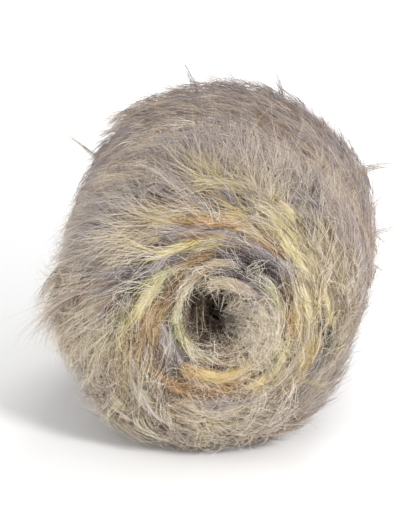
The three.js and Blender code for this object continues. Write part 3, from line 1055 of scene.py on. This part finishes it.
# Locks that stray from the rest of the brushed pile and stand out against the background, held
# by the pile at the root. Rows of: where each one grows, in degrees clockwise from the top and
# in millimetres from the front lip, its heading, how steeply it stands, its length in
# millimetres, how many fibres it has, and its dye.
STRAY_LOCKS = [
    (351, 104, -40, 72, 11, 24, "smoke"),
    (304, 99, 10, 80, 12.5, 20, "fawn"),
    (334, 102, -98, 24, 15, 70, "fawn"),
    (332, 103, -96, 34, 12, 34, "smoke"),
    (338, 104, -95, 30, 9, 14, "taupe"),
    (327, 98, -92, 40, 9, 12, "taupe"),
    (319, 99, -96, 37, 9, 12, "taupe"),
    (345, 106, -82, 50, 8, 10, "taupe"),
    (7, 110, -80, 58, 7, 10, "mauve"),
    (24, 106, -74, 56, 9, 20, "smoke"),
    (56, 78, 45, 72, 11.5, 24, "fawn"),
    (58, 91, 79, 60, 9, 8, "mauve"),
    (76, 72, 30, 74, 9, 18, "fawn"),
    (72, 62, 85, 42, 9, 10, "taupe"),
    (70, 77, -55, 60, 8, 6, "taupe"),
    (74, 44, 88, 46, 7, 8, "taupe"),
    (312, 68, -103, 18, 10, 12, "taupe"),
    (297, 34, -83, 37, 10, 16, "taupe"),
    (289, 34, -77, 45, 14, 34, "fawn"),
    (284, 45, -102, 38, 13, 30, "smoke"),
    (285, 36, -100, 30, 12, 20, "slate"),
    (283, 26, -56, 45, 20, 32, "taupe"),
    (280, 29, -70, 43, 14, 24, "taupe"),
    (276, 31, -83, 44, 13, 34, "fawn"),
    (272, 30, -78, 48, 12, 26, "taupe"),
    (268, 31, -50, 58, 8, 18, "taupe"),
    (263, 31, -84, 42, 8, 18, "taupe"),
    (234, 34, -18, 66, 5, 14, "taupe"),
]
rng = np.random.default_rng(50)
lock_of = np.repeat(np.arange(len(STRAY_LOCKS)), [row[5] for row in STRAY_LOCKS])
at, lip, way, climb, long = np.array([row[:5] for row in STRAY_LOCKS], float)[lock_of].T
root = {"arc": lip * MM, "angle": np.radians(at)}
root["height"] = rise_at(row_at(root["arc"]), root["angle"]) - 1.5 * MM
root, n = locks(root, rng, width=0.7)
climb = np.radians(climb) + rng.normal(0, 0.06, n)
bend = rng.normal(0, 0.5, len(STRAY_LOCKS))[lock_of] + rng.normal(0, 0.25, n)
fibres = grown(
    root, np.radians(way) + rng.normal(0, 0.1, n), bend, climb,
    climb - 0.3 + rng.normal(0, 0.12, n), (long + 2) * rng.uniform(0.5, 1.2, n),
    steps=5, together=0.7,
)
dye = np.array([DYE[row[6]] for row in STRAY_LOCKS])[lock_of]
pile("stray_locks", fibres, dye, rng.uniform(0.3, 0.7, n), rng, thickness=0.95, fade=0.15)

# Locks of the brushed pile that have worked loose and lie across the turns of the front end,
# caught by the fibres there. Rows of: three places that each one passes, in degrees clockwise
# from the top and in millimetres from the front lip, how many fibres it has, its dye, and how
# pale it is.
CROSSING_LOCKS = [
    (245, 0, 227, 7, 229, 15, 4, "butter", 0.9),
    (222, 9, 222, 14, 214, 20, 5, "lime", 0.9),
    (9, 6.5, 3, 9.5, 359, 16, 9, "mauve", 0.25),
    (359, 15, 358, 20, 352, 27, 7, "cream", 0.9),
    (74, 16.5, 63, 20.5, 61, 29, 9, "cream", 0.9),
    (132, 4.5, 138, 2.8, 146, 1, 6, "cream", 1.0),
    (141, 19, 140, 23, 137, 28, 6, "cream", 0.9),
    (228, -3, 196, -4, 164, -2, 10, "cream", 0.9),
    (205, -2, 178, -3, 152, 1, 8, "cream", 0.85),
    (262, -1, 250, 2, 232, 3.5, 8, "sage", 0.7),
    (292, 3, 286, 9, 276, 15, 5, "cream", 0.7),
    (304, 6, 297, 12, 290, 20, 5, "cream", 0.75),
    (318, 20, 308, 27, 296, 35, 9, "cream", 0.8),
    (335, 24, 322, 32, 308, 42, 9, "cream", 0.8),
    (331, 18.5, 321, 20.5, 309, 22, 18, "umber", 0.35),
    (338, 25, 328, 25.5, 316, 28, 12, "smoke", 0.3),
    (276, 3, 268, 4, 258, 4, 10, "brown", 0.4),
    (346, 28, 338, 36, 326, 46, 9, "taupe", 0.9),
    (28, 3, 33, 7, 42, 11, 6, "cream", 0.8),
    (44, 2, 36, 6, 26, 9, 6, "cream", 0.8),
    (236, 1.2, 228, 2.6, 238, 3.2, 8, "slate", 0.4),
    (254, 6.6, 230, 11, 218, 20, 12, "butter", 0.8),
    (224, 8.2, 210, 14.6, 194, 22, 12, "cream", 0.9),
    (236, 14, 206, 19, 180, 27, 18, "mauve", 0.9),
    (222, 22, 200, 27, 180, 33, 12, "cream", 0.75),
    (230, 18, 226, 26, 222, 35, 12, "lime", 0.75),
    (144, 7.1, 160, 14.4, 170, 22, 10, "cream", 0.75),
    (124, 12.3, 140, 17.2, 154, 23, 10, "cream", 0.85),
    (182, 14, 185, 22, 178, 31, 9, "butter", 0.65),
]
rng = np.random.default_rng(60)
lock_of = np.repeat(np.arange(len(CROSSING_LOCKS)), [row[6] for row in CROSSING_LOCKS])
a1, r1, a2, r2, a3, r3 = np.array([row[:6] for row in CROSSING_LOCKS], float)[lock_of].T[..., None]
n = len(lock_of)
share = np.linspace(0, 1, 12)[None, :] * rng.uniform(0.75, 1.05, (n, 1))
aside = rng.normal(0, 0.8, (n, 1)) + rng.normal(0, 1.3, (n, 1)) * share
aside = aside + 0.5 * np.sin(8 * share + rng.uniform(0, 6, (n, 1)))
t = row_at((through_three(r1, r2, r3, share) + aside) * MM)
angle = np.radians(through_three(a1, a2, a3, share))
curl = rng.normal(0, 0.9, (n, 1)) * (1 + share)
curl = curl + 0.6 * np.sin(rng.uniform(4, 9, (n, 1)) * share + rng.uniform(0, 6, (n, 1)))
angle = angle + curl * MM / reach_at(t)
arch = np.clip(np.sin(np.pi * share), 0, 1) ** 0.5
height = (-1.2 + rng.uniform(1.5, 3, (n, 1)) * arch + 1.2 * share) * MM
fibres = under_pile(t, angle, -height)
fibres[..., 2] = np.maximum(fibres[..., 2], FLOOR_GAP)
dye = np.array([DYE[row[7]] for row in CROSSING_LOCKS])[lock_of]
tone = np.array([row[8] for row in CROSSING_LOCKS])[lock_of] + rng.uniform(-0.1, 0.1, n)
pile("crossing_locks", fibres, dye, tone, rng, thickness=0.95)

# The floor is a plain pale board, bright enough to go white where nothing shades it, and matt.
mesh = bpy.data.meshes.new("floor")
FLOOR_REACH = 3.0  # metres
corners = [(x * FLOOR_REACH, y * FLOOR_REACH, 0) for x, y in ((-1, -1), (1, -1), (1, 1), (-1, 1))]
mesh.from_pydata(corners, [], [(0, 1, 2, 3)])
floor = placed("floor", mesh)
material = bpy.data.materials.new("white board")
material.use_nodes = True
board = material.node_tree.nodes["Principled BSDF"]
board.inputs["Base Color"].default_value = linear("#F6F6F6")
board.inputs["Roughness"].default_value = 0.9
board.inputs["Specular IOR Level"].default_value = 0.0
mesh.materials.append(material)

# Soft studio light in a white room: a soft box on the right in front, a weaker one on the right
# behind, and a low one on the left in front that fills the shaded side. Rows of: where each one
# is and how wide, in metres, and its power in watts.
world = bpy.data.worlds.new("white room")
bpy.context.scene.world = world
world.use_nodes = True
walls = world.node_tree.nodes["Background"]
walls.inputs["Color"].default_value = (1, 1, 1, 1)
walls.inputs["Strength"].default_value = 0.7
LIT = Vector((0, 0, 0.03))  # what they point at
for name, place, size, energy in (
    ("right soft box", (0.42, -0.54, 0.4), 0.15, 5.0),
    ("rear soft box", (0.2, 0.7, 0.55), 0.4, 3.8),
    ("left soft box", (-0.7, -0.8, 0.15), 0.5, 6.0),
):
    lamp = bpy.data.lights.new(name, "AREA")
    lamp.shape = "SQUARE"
    lamp.size = size
    lamp.energy = energy
    soft_box = placed(name, lamp)
    soft_box.location = place
    soft_box.rotation_euler = (LIT - soft_box.location).to_track_quat("-Z", "Y").to_euler()

# The viewer looks from a little right of the winding axis and well above it, from afar.
AZIMUTH, ELEVATION = math.radians(2.6), math.radians(18)
DISTANCE = 0.6  # metres
AIM_LEFT, AIM_UP = 2.6 * MM, 0.6 * MM  # where the picture's middle is, from the winding axis
back = Vector((
    math.sin(AZIMUTH) * math.cos(ELEVATION),
    -math.cos(AZIMUTH) * math.cos(ELEVATION),
    math.sin(ELEVATION),
))
eye = bpy.data.cameras.new("eye")
eye.lens = 145.1
eye.sensor_width = 36
eye.clip_start = 0.05
eye.clip_end = 20
camera = placed("eye", eye)
camera.rotation_euler = (-back).to_track_quat("-Z", "Y").to_euler()
right = Vector((math.cos(AZIMUTH), math.sin(AZIMUTH), 0))
up = back.cross(right)
camera.location = Vector((0, 0, AXIS_HEIGHT)) - right * AIM_LEFT + up * AIM_UP + back * DISTANCE
bpy.context.scene.camera = camera
bpy.context.scene.view_settings.view_transform = "Standard"
